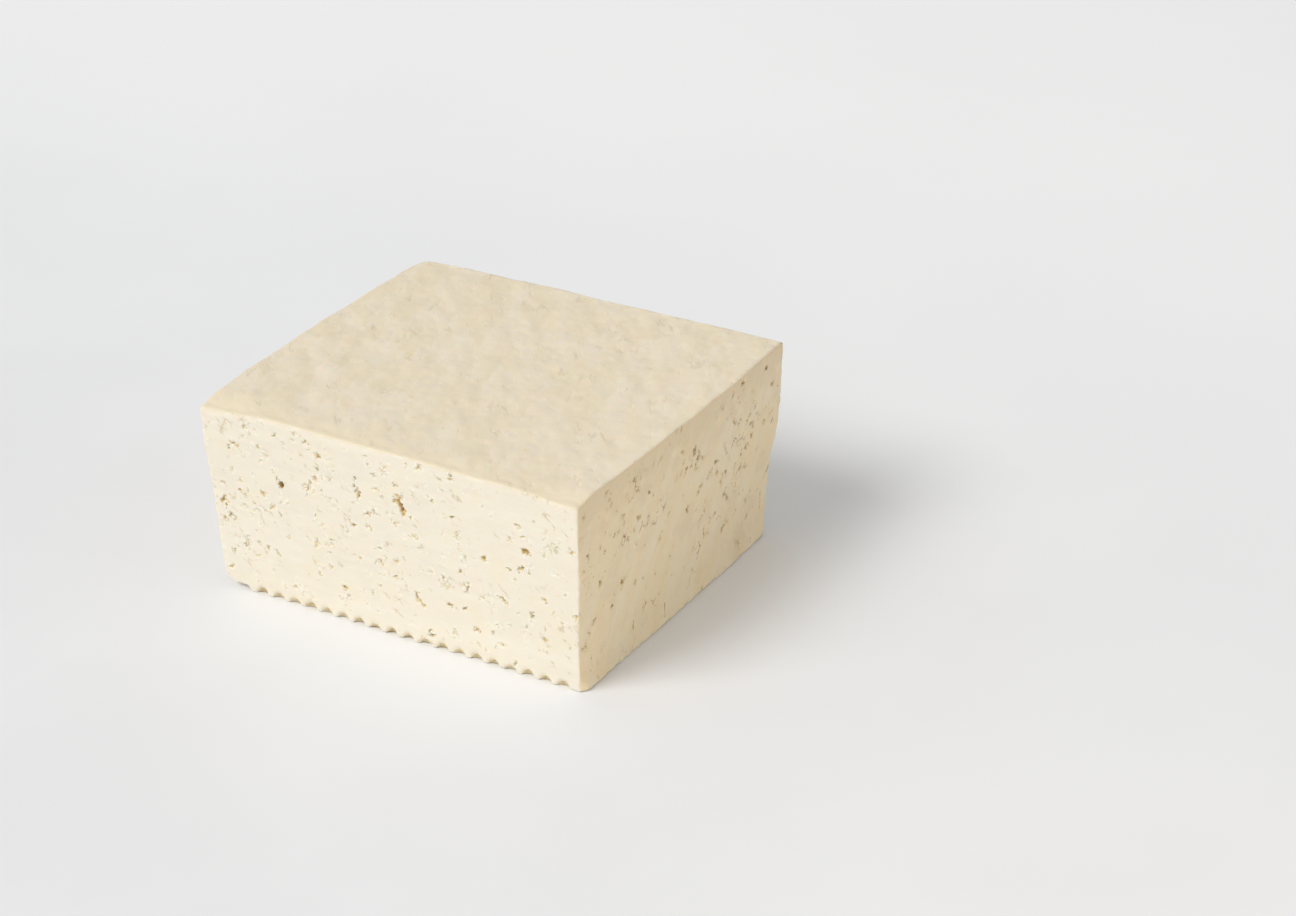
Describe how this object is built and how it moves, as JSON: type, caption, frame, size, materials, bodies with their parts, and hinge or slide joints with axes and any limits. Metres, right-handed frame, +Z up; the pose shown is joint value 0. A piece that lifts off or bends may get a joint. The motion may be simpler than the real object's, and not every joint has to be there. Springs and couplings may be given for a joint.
{
  "type": "tofu block",
  "caption": "Pale block of firm pressed tofu: knife-cut sides with small curd holes, smooth sloping mould walls, a cloth-pressed skin on top and a finely ribbed underside.",
  "frame": {"origin": "middle of the bottom of the block's bounding box, on the surface it rests on", "axes": "+X along the long cut face, towards the end cut; +Y from the long cut face towards the moulded back; +Z up"},
  "size_m": [0.1124, 0.0996, 0.0519],
  "materials": {
    "tofu_curd": "moist cream bean curd, softly translucent, slightly warmer skin on top"
  },
  "bodies": {
    "root": {"tofu_block": "tofu_curd"}
  },
  "joints": []
}
